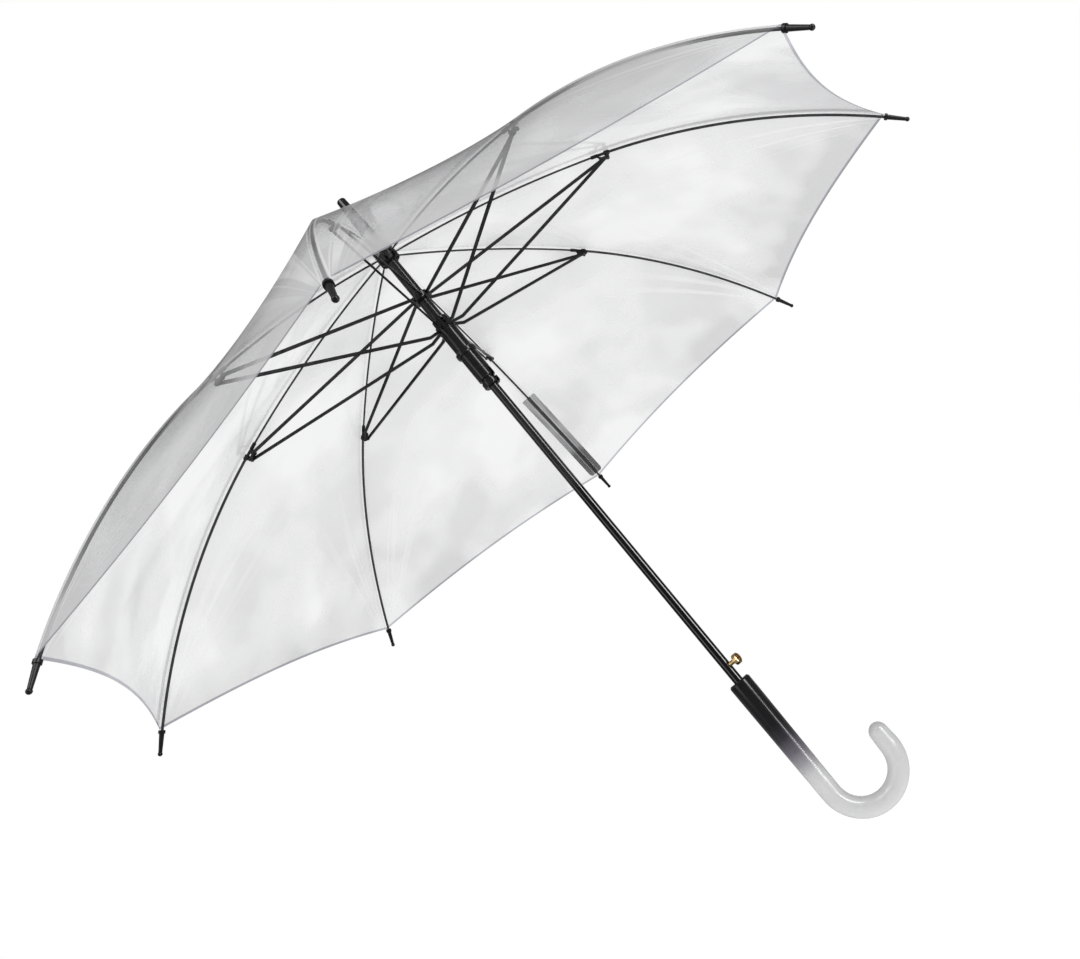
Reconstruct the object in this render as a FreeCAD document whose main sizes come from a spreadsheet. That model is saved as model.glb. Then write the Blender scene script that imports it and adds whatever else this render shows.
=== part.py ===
import FreeCAD, Part
import math
import os

# A crook-handled stick umbrella, open. Built about the crown hinge plane:
# +Z runs up the shaft to the ferrule, +X is the hook side. Millimetres and degrees.
# Every finished piece is then raised by grip_below_hinge, which puts the frame's
# origin on the shaft axis at the middle of the grip.

SIZES = {
    # whole umbrella
    "rib_count": 8,
    "grip_below_hinge": 670,
    "running_gap": 0.1,
    "loose_gap": 0.3,
    # shaft, ferrule and collar
    "shaft_radius": 5.25,
    "shaft_wall": 0.8,
    "shaft_top": 60,
    "shaft_in_handle": 60,
    "ferrule_bottom": 14.5,
    "ferrule_length": 75.5,
    "ferrule_base_radius": 8.3,
    "ferrule_tip_radius": 5.2,
    "ferrule_edge": 1.4,
    "collar_bottom": 5.8,
    "collar_height": 8.4,
    "collar_radius": 12,
    "collar_groove": 1.1,
    # crown and its wire
    "crown_radius": 12,
    "crown_top": 3.2,
    "crown_depth": 7,
    "crown_hinge_radius": 9,
    "slot_roof": 1.9,
    "wire_radius": 0.5,
    # ribs
    "rib_joint_distance": 253.5,
    "rib_open_angle": 74.05,
    "rib_closed_angle": 3.5,
    "inner_bow": 5.5,
    "inner_rod_radius": 1.1,
    "inner_eye_radius": 1.65,
    "inner_eye_width": 2.4,
    "outer_rod_radius": 1.5,
    "outer_bow": 13.5,
    "tip_reach": 527,
    "tip_drop": 268,
    "tip_closed_radius": 22,
    # rib joint
    "barrel_radius": 2,
    "barrel_length": 8,
    "flex_ahead": 10,
    "ear_radius": 2,
    "ear_thickness": 0.75,
    "flex_pin_radius": 0.8,
    "flex_eye_radius": 1.8,
    "rocker_drop": 5.5,
    "rocker_pitch": 8,
    "rocker_end_radius": 2.1,
    # struts
    "strut_thickness": 2,
    "strut_depth": 3.2,
    "strut_groove": 0.9,
    "strut_eye_radius": 1.75,
    "strut_hole_radius": 1,
    "strut_boss_radius": 2.3,
    "rivet_radius": 1.5,
    "rivet_height": 0.6,
    # upper runner
    "upper_ring_z": -63,
    "upper_hinge_radius": 10.4,
    "upper_ring_radius": 12,
    "upper_ring_height": 7,
    "upper_tube_radius": 6.6,
    "upper_tube_top": -9.5,
    "upper_tube_bottom": -106,
    # lower runner
    "lower_ring_z": -108,
    "lower_hinge_radius": 9.6,
    "lower_ring_radius": 10.6,
    "lower_top": -95,
    "lower_neck_radius": 9.2,
    "lower_sleeve_radius": 10,
    "flange_z": -148,
    "flange_radius": 12.4,
    "flange_height": 6,
    "lower_grip_radius": 10.2,
    "waist_radius": 7.8,
    "end_collar_radius": 10,
    "end_collar_height": 7,
    "waist_height": 3,
    "lower_bottom": -193,
    # opening spring
    "spring_wire_radius": 0.4,
    "spring_mean_radius": 6,
    "spring_length": 34,
    "spring_turns": 7,
    # release button
    "button_z": -582,
    "button_turn": -22.5,
    "button_stem_radius": 2.4,
    "button_head_radius": 5.9,
    "button_head_from": 12.2,
    "button_head_height": 4.8,
    "button_dimple_radius": 3.4,
    "button_travel": 1.5,
    # handle
    "handle_top": -600,
    "handle_straight": 141,
    "handle_top_radius": 12.3,
    "handle_radius": 10.8,
    "tail_radius": 9.9,
    "hook_radius": 37.5,
    "hook_tail": 15,
    # canopy
    "film_thickness": 0.2,
    "film_lift": 2.9,
    "film_apex": 5.2,
    "film_inner_radius": 5.9,
    "rim_scallop": 0.065,
    "panel_dip": 0.035,
    # tip caps
    "cap_length": 27,
    "cap_radius": 2.25,
    "cap_collar_radius": 3.6,
    "cap_collar_length": 3.2,
    "cap_ball_radius": 2.5,
    # strap and snap
    "strap_rib": 3,
    "strap_start": 110,
    "strap_length": 188,
    "strap_width": 22,
    "strap_thickness": 1.2,
    "snap_radius": 5.65,
    "snap_height": 2,
}

doc = FreeCAD.newDocument("umbrella")
sheet = doc.addObject("Spreadsheet::Sheet", "sizes")
for row, (alias, value) in enumerate(SIZES.items(), start=1):
    sheet.set(f"A{row}", alias)
    sheet.set(f"B{row}", str(value))
    sheet.setAlias(f"B{row}", alias)
doc.recompute()

V = FreeCAD.Vector
X_AXIS, Y_AXIS, Z_AXIS = V(1, 0, 0), V(0, 1, 0), V(0, 0, 1)


def size(alias):
    """A driving dimension, read from the sheet."""
    return float(getattr(sheet, alias))


def in_plane(x, z, y=0):
    """A point of a rib's own plane, x outward from the shaft's axis and z up."""
    return V(x, y, z)


def angle_of(a, b):
    """The angle of the way from a to b above the outward direction, in degrees."""
    return math.degrees(math.atan2(b.z - a.z, b.x - a.x))


def along(start, degrees, distance, drop=0):
    """The point that far along a direction, and that far below the line."""
    t = math.radians(degrees)
    return in_plane(
        start.x + distance * math.cos(t) + drop * math.sin(t),
        start.z + distance * math.sin(t) - drop * math.cos(t),
    )


def swung(point, about, degrees):
    """A point after the rib plane turns by that angle, outward towards up being positive."""
    t = math.radians(degrees)
    dx, dz = point.x - about.x, point.z - about.z
    return in_plane(
        about.x + dx * math.cos(t) - dz * math.sin(t),
        about.z + dx * math.sin(t) + dz * math.cos(t),
    )


# The linkage. The open pose gives every length, and the closed pose every travel.
strut_offset = size("barrel_radius") + size("loose_gap") + size("strut_thickness") / 2


def hinge_x(radius):
    """How far out a strut's eye is on a wire ring, in the strut's own offset plane."""
    return math.sqrt(size(radius) ** 2 - strut_offset**2)


crown_hinge = in_plane(size("crown_hinge_radius"), 0)
inner_chord = size("rib_open_angle") - 90
joint = along(crown_hinge, inner_chord, size("rib_joint_distance"))
joint_slope = inner_chord - size("inner_bow")
flex = along(joint, joint_slope, size("flex_ahead"))
main_pivot = along(joint, joint_slope, 0, size("rocker_drop"))
second_pivot = along(joint, joint_slope, size("rocker_pitch"), size("rocker_drop"))
tip = in_plane(size("tip_reach"), -size("tip_drop"))
outer_chord = angle_of(flex, tip)
outer_length = (tip - flex).Length
upper_eye = in_plane(hinge_x("upper_hinge_radius"), size("upper_ring_z"))
lower_eye = in_plane(hinge_x("lower_hinge_radius"), size("lower_ring_z"))
main_length = (main_pivot - upper_eye).Length
second_length = (second_pivot - lower_eye).Length

fold = size("rib_open_angle") - size("rib_closed_angle")
closed_main = swung(main_pivot, crown_hinge, -fold)
closed_second = swung(second_pivot, crown_hinge, -fold)
closed_flex = swung(flex, crown_hinge, -fold)


def closed_eye(eye, pivot, length):
    """Where a strut's eye is once its outer pivot has come down beside the shaft."""
    return in_plane(eye.x, pivot.z - math.sqrt(length**2 - (pivot.x - eye.x) ** 2))


closed_upper = closed_eye(upper_eye, closed_main, main_length)
closed_lower = closed_eye(lower_eye, closed_second, second_length)
upper_travel = upper_eye.z - closed_upper.z
lower_travel = lower_eye.z - closed_lower.z
closed_sink = size("tip_closed_radius") - closed_flex.x
closed_tip = in_plane(
    size("tip_closed_radius"),
    closed_flex.z - math.sqrt(outer_length**2 - closed_sink**2),
)
flex_turn = fold - (outer_chord - (angle_of(closed_flex, closed_tip)))
main_swing = angle_of(closed_upper, closed_main) - angle_of(upper_eye, main_pivot)
second_swing = angle_of(closed_lower, closed_second) - angle_of(lower_eye, second_pivot)

# The second strut is cranked, so that it passes outside the upper ring when folded.
crank_clear = size("upper_ring_radius") + size("loose_gap") + size("strut_depth") / 2 + 0.3
crank_rise = (closed_upper.z - closed_lower.z) - size("upper_ring_height") / 2 - 1
crank_point = in_plane(crank_clear, closed_lower.z + crank_rise)
closed_angle = angle_of(closed_lower, closed_second)
crank_angle = angle_of(closed_lower, crank_point) - closed_angle
crank_length = (crank_point - closed_lower).Length


def made(kind, name, place=None, **sizes):
    """One primitive, each of its sizes bound to an expression over the sheet."""
    piece = doc.addObject(kind, name)
    for prop, rule in sizes.items():
        if isinstance(rule, str):
            piece.setExpression(prop, rule)
        else:
            setattr(piece, prop, rule)
    if place is not None:
        piece.Placement = place
    return piece


def at(point, rotation=None):
    return FreeCAD.Placement(point, rotation or FreeCAD.Rotation())


def across(point, width):
    """Where a cylinder lies to cross a rib's plane, centred on a point of it."""
    turn = FreeCAD.Rotation(Z_AXIS, Y_AXIS)
    return at(point - Y_AXIS * (width / 2), turn)


def plane_turn(degrees):
    """A turn within the rib plane, outward towards up being positive."""
    return FreeCAD.Rotation(Y_AXIS, -degrees)


def bar(name, start, degrees, length, width, depth, y=0, lift=0):
    """A box along a direction of the rib plane, centred on its line."""
    turn = plane_turn(degrees)
    corner = turn.multVec(V(0, -width / 2, lift - depth / 2))
    return made(
        "Part::Box",
        name,
        at(start + V(0, y, 0) + corner, turn),
        Length=length,
        Width=width,
        Height=depth,
    )


def rod_between(name, start, end, bow, radius, skip_start=0.0, skip_end=0.0):
    """An arched rod from one point of the rib plane to another, bowed upward."""
    chord = (end - start).Length
    arch = chord / (2 * math.sin(math.radians(bow)))
    middle = (start + end) * 0.5
    down = along(in_plane(0, 0), angle_of(start, end) - 90, 1)
    centre = middle + down * (arch * math.cos(math.radians(bow)))
    first = angle_of(centre, end) + math.degrees(skip_end / arch)
    last = angle_of(centre, start) - math.degrees(skip_start / arch)
    out = along(in_plane(0, 0), first, 1)
    onward = along(in_plane(0, 0), first + 90, 1)
    turn = FreeCAD.Rotation(out, onward, out.cross(onward), "ZXY")
    rod = made("Part::Torus", name, at(centre, turn), Radius2=radius)
    rod.Radius1 = arch
    rod.Angle3 = last - first
    return rod, centre, arch


def joined(name, pieces):
    fuse = doc.addObject("Part::MultiFuse", name)
    fuse.Shapes = pieces
    return fuse


def cut(name, base, tool):
    result = doc.addObject("Part::Cut", name)
    result.Base, result.Tool = base, tool
    return result


raise_by = size("grip_below_hinge")
nodes = []


def finish(piece, label, turn=0.0):
    """Name a finished piece and put it in its place about the shaft's axis."""
    piece.Label = label
    piece.Placement = at(V(0, 0, raise_by), FreeCAD.Rotation(Z_AXIS, turn))
    nodes.append(piece)
    return piece


def turned(name, outline):
    """A solid turned about the shaft's axis from its (radius, height) outline."""
    points = [in_plane(r, z) for r, z in outline]
    wire = doc.addObject("Part::Polygon", name + "_outline")
    wire.Nodes = points
    wire.Close = True
    spin = doc.addObject("Part::Revolution", name)
    spin.Source = wire
    spin.Axis = Z_AXIS
    spin.Angle = 360
    spin.Solid = True
    return spin


def slots(name, inner_x, width, low, high, y=0.0):
    """Box slots round a ring, one in each rib's plane or beside it."""
    cutters = []
    for k in range(int(size("rib_count"))):
        turn = FreeCAD.Rotation(Z_AXIS, 360 * k / size("rib_count"))
        corner = turn.multVec(V(inner_x, y - width / 2, low))
        slot = made("Part::Box", f"{name}_{k + 1}", at(corner, turn))
        slot.Length, slot.Width, slot.Height = 12, width, high - low
        cutters.append(slot)
    return joined(name, cutters)


def wire_ring(name, radius, z):
    return made(
        "Part::Torus", name, at(V(0, 0, z)), Radius1=f"sizes.{radius}", Radius2="sizes.wire_radius"
    )


def button_way():
    """The button points out between two ribs, so the folded ribs pass it."""
    return FreeCAD.Rotation(Z_AXIS, size("button_turn")).multVec(X_AXIS)


def build_shaft():
    length = size("shaft_top") - size("handle_top") + size("shaft_in_handle")
    foot = at(V(0, 0, size("handle_top") - size("shaft_in_handle")))
    outside = made("Part::Cylinder", "shaft_outside", foot, Radius="sizes.shaft_radius")
    inside = made(
        "Part::Cylinder", "shaft_inside", foot, Radius="sizes.shaft_radius - sizes.shaft_wall"
    )
    outside.Height = inside.Height = length
    hole = made(
        "Part::Cylinder",
        "shaft_button_hole",
        at(V(0, 0, size("button_z")), FreeCAD.Rotation(Z_AXIS, button_way())),
        Radius="sizes.button_stem_radius + sizes.running_gap",
        Height="sizes.shaft_radius + 1",
    )
    tube = cut("shaft_tube", outside, inside)
    finish(cut("shaft_drilled", tube, hole), "shaft")


def build_ferrule():
    bore = size("shaft_radius") + size("running_gap") / 2
    low = size("ferrule_bottom")
    top = low + size("ferrule_length")
    base, end, edge = (size("ferrule_" + w) for w in ("base_radius", "tip_radius", "edge"))
    roof = size("shaft_top") + 1
    outline = [(bore, low), (base - 0.6, low), (base, low + 0.6), (base, low + 4)]
    outline += [(end, top - edge), (end - 0.4 * edge, top - 0.3 * edge), (end - edge, top)]
    outline += [(0, top), (0, roof), (bore, roof)]
    finish(turned("ferrule_turned", outline), "ferrule")


def build_collar():
    bore = size("shaft_radius") + size("running_gap") / 2
    low, tall = size("collar_bottom"), size("collar_height")
    wide, dip = size("collar_radius"), size("collar_groove")
    outline = [(bore, low), (wide - 0.8, low), (wide, low + 0.8)]
    outline += [(wide, low + 0.36 * tall), (wide - dip, low + 0.44 * tall)]
    outline += [(wide - dip, low + 0.52 * tall), (wide, low + 0.6 * tall)]
    outline += [(wide, low + tall - 1.2), (wide - 1.2, low + tall), (bore, low + tall)]
    finish(turned("collar_turned", outline), "canopy_collar")


def build_crown():
    bore = size("shaft_radius") + size("running_gap") / 2
    top, low, wide = size("crown_top"), -size("crown_depth"), size("crown_radius")
    outline = [(bore, low), (wide - 1.2, low), (wide, low + 1.2), (wide, top - 0.6)]
    outline += [(wide - 0.6, top), (bore, top)]
    body = turned("crown_turned", outline)
    gap = size("loose_gap")
    inner = crown_hinge.x - size("inner_eye_radius") - gap
    wide_slot = size("inner_eye_width") + 2 * gap
    cutters = slots("crown_slots", inner, wide_slot, low - 1, size("slot_roof"))
    wire = wire_ring("crown_wire", "crown_hinge_radius", 0)
    finish(joined("crown_laced", [cut("crown_slotted", body, cutters), wire]), "crown")


def build_upper_runner():
    bore = size("shaft_radius") + size("running_gap")
    tube, ring = size("upper_tube_radius"), size("upper_ring_radius")
    mid, half = size("upper_ring_z"), size("upper_ring_height") / 2
    top, low = size("upper_tube_top"), size("upper_tube_bottom")
    outline = [(bore, top), (tube, top), (tube, mid + half + 2), (tube + 1.4, mid + half)]
    outline += [(ring - 0.8, mid + half), (ring, mid + half - 0.8), (ring, mid - half + 0.8)]
    outline += [(ring - 0.8, mid - half), (tube, mid - half), (tube, low), (bore, low)]
    body = turned("upper_turned", outline)
    inner = upper_eye.x - size("strut_eye_radius") - size("loose_gap")
    wide_slot = size("strut_thickness") + 2 * size("loose_gap")
    floor = mid - size("strut_eye_radius") - size("loose_gap")
    cutters = slots("upper_slots", inner, wide_slot, floor, mid + half + 4, strut_offset)
    wire = wire_ring("upper_wire", "upper_hinge_radius", mid)
    laced = joined("upper_laced", [cut("upper_slotted", body, cutters), wire])
    finish(laced, "upper_runner")


def build_lower_runner():
    bore = size("shaft_radius") + size("running_gap")
    socket = size("upper_tube_radius") + size("running_gap")
    floor = size("upper_tube_bottom") - size("spring_length") - size("loose_gap")
    top, mid, low = size("lower_top"), size("lower_ring_z"), size("lower_bottom")
    neck, ring = size("lower_neck_radius"), size("lower_ring_radius")
    sleeve, flange = size("lower_sleeve_radius"), size("flange_radius")
    under = size("flange_z")
    over = under + size("flange_height")
    grip, waist, end = (size(w) for w in ("lower_grip_radius", "waist_radius", "end_collar_radius"))
    collar_top = low + size("end_collar_height")
    waist_top = collar_top + size("waist_height")
    outline = [(socket, top), (neck - 0.5, top), (neck, top - 0.5), (neck, mid + 5.5)]
    outline += [(ring, mid + 5), (ring, mid - 5), (sleeve, mid - 5.5), (sleeve, over + 0.5)]
    outline += [(flange - 0.9, over), (flange, over - 0.9), (flange, under + 0.9)]
    outline += [(flange - 0.9, under), (grip, under), (grip, waist_top + 0.6)]
    outline += [(grip - 0.6, waist_top), (waist, waist_top), (waist, collar_top)]
    outline += [(end - 0.7, collar_top), (end, collar_top - 0.7), (end, low + 0.8)]
    outline += [(end - 0.8, low), (bore, low), (bore, floor), (socket, floor)]
    body = turned("lower_turned", outline)
    inner = lower_eye.x - size("strut_eye_radius") - size("loose_gap") / 2
    wide_slot = size("strut_thickness") + 2 * size("loose_gap")
    seat = mid - size("strut_eye_radius") - size("loose_gap")
    cutters = slots("lower_slots", inner, wide_slot, seat, mid + 10, -strut_offset)
    # The button's stem comes up this slot as the runner comes down over it.
    half = size("button_stem_radius") + size("loose_gap")
    reach = size("button_z") + lower_travel - low + half
    turn = FreeCAD.Rotation(Z_AXIS, size("button_turn"))
    catch = made("Part::Box", "catch_slot", at(turn.multVec(V(0, -half, low - 1)), turn))
    catch.Length, catch.Width, catch.Height = flange + 1, 2 * half, reach + 1
    tools = joined("lower_tools", [cutters, catch])
    wire = wire_ring("lower_wire", "lower_hinge_radius", mid)
    laced = joined("lower_laced", [cut("lower_slotted", body, tools), wire])
    finish(laced, "lower_runner")


def build_spring():
    wire, mean = size("spring_wire_radius"), size("spring_mean_radius")
    tall = size("spring_length") - 2 * wire - 2 * size("running_gap")
    low = size("upper_tube_bottom") - size("spring_length") + wire + size("running_gap")
    coil = doc.addObject("Part::Helix", "spring_coil")
    coil.Pitch = tall / size("spring_turns")
    coil.Height = tall
    coil.Radius = mean
    section = made(
        "Part::Circle",
        "spring_section",
        at(V(mean, 0, 0), FreeCAD.Rotation(Z_AXIS, Y_AXIS)),
        Radius="sizes.spring_wire_radius",
    )
    spring = doc.addObject("Part::Sweep", "spring_swept")
    spring.Sections = [section]
    spring.Spine = (coil, [])
    spring.Solid = True
    spring.Frenet = True
    spring.Label = "opening_spring"
    spring.Placement = at(V(0, 0, raise_by + low))
    nodes.append(spring)


def build_button():
    way = button_way()
    outward = FreeCAD.Rotation(Z_AXIS, way)
    level = V(0, 0, size("button_z"))
    start = 2.2
    head = size("button_head_from")
    rim = head + size("button_head_height")
    stem = made(
        "Part::Cylinder",
        "button_stem",
        at(level + way * start, outward),
        Radius="sizes.button_stem_radius",
    )
    stem.Height = head - start + 0.5
    foot = made("Part::Cylinder", "button_foot", at(level + way * (start - 1.2), outward))
    foot.Radius, foot.Height = size("button_stem_radius") + 1, 1.5
    cap = made(
        "Part::Cylinder",
        "button_cap",
        at(level + way * head, outward),
        Radius="sizes.button_head_radius",
        Height="sizes.button_head_height - 0.6",
    )
    crown = made(
        "Part::Cone",
        "button_edge",
        at(level + way * (rim - 0.6), outward),
        Radius1="sizes.button_head_radius",
        Radius2="sizes.button_head_radius - 0.7",
        Height=0.6,
    )
    dimple = made(
        "Part::Cylinder",
        "button_dimple",
        at(level + way * (rim - 1.8), outward),
        Radius="sizes.button_dimple_radius",
        Height=3,
    )
    whole = joined("button_whole", [stem, foot, cap, crown])
    finish(cut("button_hollowed", whole, dimple), "release_button")


def build_handle():
    top, straight = size("handle_top"), size("handle_straight")
    bend = top - straight
    tube = size("handle_radius")
    grip = made(
        "Part::Cone",
        "handle_grip",
        at(V(0, 0, bend)),
        Radius1="sizes.handle_radius",
        Radius2="sizes.handle_top_radius",
        Height="sizes.handle_straight - 2",
    )
    mouth = made(
        "Part::Cone",
        "handle_mouth",
        at(V(0, 0, top - 2)),
        Radius1="sizes.handle_top_radius",
        Radius2="sizes.handle_top_radius - 1.6",
        Height=2,
    )
    turn = FreeCAD.Rotation(V(-1, 0, 0), V(0, 0, -1), V(0, -1, 0), "ZXY")
    hook = made(
        "Part::Torus",
        "handle_hook",
        at(V(size("hook_radius"), 0, bend), turn),
        Radius1="sizes.hook_radius",
        Radius2="sizes.handle_radius",
        Angle3=180,
    )
    far = 2 * size("hook_radius")
    tail = made(
        "Part::Cone",
        "handle_tail",
        at(V(far, 0, bend)),
        Radius1="sizes.handle_radius",
        Radius2="sizes.tail_radius",
        Height="sizes.hook_tail",
    )
    end = made(
        "Part::Sphere", "handle_end", at(V(far, 0, bend + size("hook_tail"))), Radius="sizes.tail_radius"
    )
    deep = size("shaft_in_handle") + 0.5
    bore = made(
        "Part::Cylinder",
        "handle_bore",
        at(V(0, 0, top - deep)),
        Radius="sizes.shaft_radius + sizes.running_gap / 2",
    )
    bore.Height = deep + 1
    whole = joined("handle_whole", [grip, mouth, hook, tail, end])
    finish(cut("handle_bored", whole, bore), "handle")
    return tube


def build_inner_rib(k, turn):
    name = f"inner_{k}"
    wide = size("inner_eye_width")
    eye = made(
        "Part::Cylinder",
        name + "_eye",
        across(crown_hinge, wide),
        Radius="sizes.inner_eye_radius",
        Height="sizes.inner_eye_width",
    )
    hole = made("Part::Cylinder", name + "_hole", across(crown_hinge, wide + 2), Height=wide + 2)
    hole.Radius = size("wire_radius") + 0.2
    rod, _, _ = rod_between(
        name + "_rod",
        crown_hinge,
        joint,
        size("inner_bow"),
        "sizes.inner_rod_radius",
        skip_start=1.1,
        skip_end=size("barrel_length") - 4,
    )
    finish(cut(name + "_drilled", joined(name + "_whole", [eye, rod]), hole), f"rib_inner_{k}", turn)
    return rod


def build_joint(k, turn):
    name = f"joint_{k}"
    slope, wide = joint_slope, 2 * size("barrel_radius")
    tube, gap = size("barrel_length"), size("loose_gap")
    back = -tube - 2
    ears_from = size("flex_ahead") - size("flex_eye_radius") - gap
    sink = (tube / 2 + 2) ** 2 * math.radians(size("inner_bow")) / size("rib_joint_distance")
    barrel_start = along(joint, slope, back, sink)
    heading = FreeCAD.Rotation(Z_AXIS, along(in_plane(0, 0), slope, 1))
    barrel = made(
        "Part::Cylinder",
        name + "_barrel",
        at(barrel_start, heading),
        Radius="sizes.barrel_radius",
        Height="sizes.barrel_length",
    )
    spine = bar(name + "_spine", along(joint, slope, back + tube - 0.5), slope, 0, 2.4, 2.4)
    spine.Length = ears_from - (back + tube - 0.5)
    ears, thick = [], size("ear_thickness")
    for side in (1, -1):
        y = side * (size("barrel_radius") - thick / 2)
        ear_start = along(joint, slope, ears_from - 2.5)
        length = size("flex_ahead") - ears_from + 2.5
        arm = bar(name + "_arm", ear_start, slope, length, thick, 2 * size("ear_radius"), y)
        disc = made(
            "Part::Cylinder",
            name + "_ear",
            across(flex + V(0, y, 0), thick),
            Radius="sizes.ear_radius",
            Height="sizes.ear_thickness",
        )
        ears += [arm, disc]
    cheek = bar(name + "_cheek", along(joint, slope, ears_from - 2.5), slope, 2.5, wide, 3)
    pin = made(
        "Part::Cylinder",
        name + "_pin",
        across(flex, wide),
        Radius="sizes.flex_pin_radius",
        Height="2 * sizes.barrel_radius",
    )
    rocker = bar(name + "_rocker", main_pivot, slope, size("rocker_pitch"), wide, 3)
    ends = [
        made(
            "Part::Cylinder",
            name + "_end",
            across(point, wide),
            Radius="sizes.rocker_end_radius",
            Height="2 * sizes.barrel_radius",
        )
        for point in (main_pivot, second_pivot)
    ]
    webs = []
    for web, (top_at, foot) in enumerate(((-3.4, main_pivot), (5.4, second_pivot))):
        head = along(joint, slope, top_at)
        lean = angle_of(head, foot)
        webs.append(bar(f"{name}_web_{web}", head, lean, (foot - head).Length, 1.6, 2))
    pieces = [barrel, spine, cheek, pin, rocker] + ears + ends + webs
    return name, joined(name + "_whole", pieces), turn


def build_outer_rib(k, turn):
    name = f"outer_{k}"
    wide = 2 * (size("barrel_radius") - size("ear_thickness") - size("loose_gap"))
    start = outer_chord + size("outer_bow")
    eye = made(
        "Part::Cylinder", name + "_eye", across(flex, wide), Radius="sizes.flex_eye_radius", Height=wide
    )
    neck = bar(name + "_neck", flex, start, 4.5, wide, 2.2)
    rod, centre, arch = rod_between(
        name + "_rod",
        flex,
        tip,
        size("outer_bow"),
        "sizes.outer_rod_radius",
        skip_start=size("ear_radius") + size("loose_gap") + 0.6,
        skip_end=size("cap_length") * 0.4,
    )
    hole = made(
        "Part::Cylinder",
        name + "_hole",
        across(flex, wide + 2),
        Radius="sizes.flex_pin_radius + sizes.running_gap / 2",
        Height=wide + 2,
    )
    whole = joined(name + "_whole", [eye, neck, rod])
    finish(cut(name + "_drilled", whole, hole), f"rib_outer_{k}", turn)
    return rod, centre, arch


def build_cap(k, turn, rod):
    name = f"cap_{k}"
    end_slope = outer_chord - size("outer_bow")
    length = size("cap_length")
    back = (end_slope + 180) + size("outer_bow") * 0.04
    foot = along(tip, back, length)
    heading = FreeCAD.Rotation(Z_AXIS, tip - foot)
    collar = made(
        "Part::Cylinder",
        name + "_collar",
        at(foot, heading),
        Radius="sizes.cap_collar_radius",
        Height="sizes.cap_collar_length",
    )
    body = made(
        "Part::Cone",
        name + "_body",
        at(foot, heading),
        Radius1="sizes.cap_radius + 0.5",
        Radius2="sizes.cap_radius - 0.35",
        Height="sizes.cap_length - sizes.cap_ball_radius",
    )
    ball = made(
        "Part::Sphere",
        name + "_ball",
        at(along(tip, back, size("cap_ball_radius"))),
        Radius="sizes.cap_ball_radius",
    )
    finish(cut(name + "_bored", joined(name + "_whole", [collar, body, ball]), rod), f"tip_cap_{k}", turn)


def strut_piece(name, label, turn, eye, pivot, side, cranked):
    """A U-shaped strut: its eye on a runner's wire, its riveted end beside a rib joint."""
    thick, deep = size("strut_thickness"), size("strut_depth")
    y = side * strut_offset
    slope = angle_of(eye, pivot)
    runs, start = [], eye
    if cranked:
        start = along(eye, slope + crank_angle, crank_length)
        runs.append(bar(name + "_crank", eye, slope + crank_angle, crank_length, thick, deep, y))
        knee = made(
            "Part::Cylinder",
            name + "_knee",
            across(start + V(0, y, 0), thick),
            Radius="sizes.strut_depth / 2",
            Height="sizes.strut_thickness",
        )
        runs.append(knee)
    slope, length = angle_of(start, pivot), (pivot - start).Length
    runs.append(bar(name + "_run", start, slope, length, thick, deep, y))
    ring = made(
        "Part::Cylinder",
        name + "_eye",
        across(eye + V(0, y, 0), thick),
        Radius="sizes.strut_eye_radius",
        Height="sizes.strut_thickness",
    )
    boss = made(
        "Part::Cylinder",
        name + "_boss",
        across(pivot + V(0, y, 0), thick),
        Radius="sizes.strut_boss_radius",
        Height="sizes.strut_thickness",
    )
    tall = size("rivet_height")
    rivet = made(
        "Part::Cylinder",
        name + "_rivet",
        across(pivot + V(0, y + side * (thick + tall) / 2, 0), tall),
        Radius="sizes.rivet_radius",
        Height="sizes.rivet_height",
    )
    hole = made(
        "Part::Cylinder",
        name + "_hole",
        across(eye + V(0, y, 0), thick + 2),
        Radius="sizes.strut_hole_radius",
        Height="sizes.strut_thickness + 2",
    )
    groove = bar(
        name + "_groove",
        along(start, slope, 6),
        slope,
        length - 12,
        size("strut_groove"),
        deep,
        y,
        lift=-0.7,
    )
    whole = joined(name + "_whole", runs + [ring, boss, rivet])
    finish(cut(name + "_drilled", whole, joined(name + "_tools", [hole, groove])), label, turn)


def film_outline():
    """The film's underside in a rib's plane: a cone at the crown, then over the rib."""
    lift, points = size("film_lift"), []
    _, centre, arch = rod_between("sample_inner", crown_hinge, joint, size("inner_bow"), 1.0)
    doc.removeObject("sample_inner")
    over = arch + lift
    apex = in_plane(size("film_inner_radius"), size("film_apex"))
    reach = (apex - centre).Length
    facing = angle_of(centre, apex)
    touch = facing - math.degrees(math.acos(over / reach)) if reach > over else facing
    last = angle_of(centre, joint)
    first_point = along(centre, touch, over)
    for n in range(7):
        points.append(apex + (first_point - apex) * (n / 7))
    for n in range(9):
        points.append(along(centre, touch + (last - touch) * n / 8, over))
    _, centre, arch = rod_between("sample_outer", flex, tip, size("outer_bow"), 1.0)
    doc.removeObject("sample_outer")
    over = arch + lift
    first = angle_of(centre, flex)
    held = size("cap_length") + 0.4
    last = angle_of(centre, tip) + math.degrees(held / arch)
    for n in range(14):
        points.append(along(centre, first + (last - first) * n / 13, over))
    return points


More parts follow.
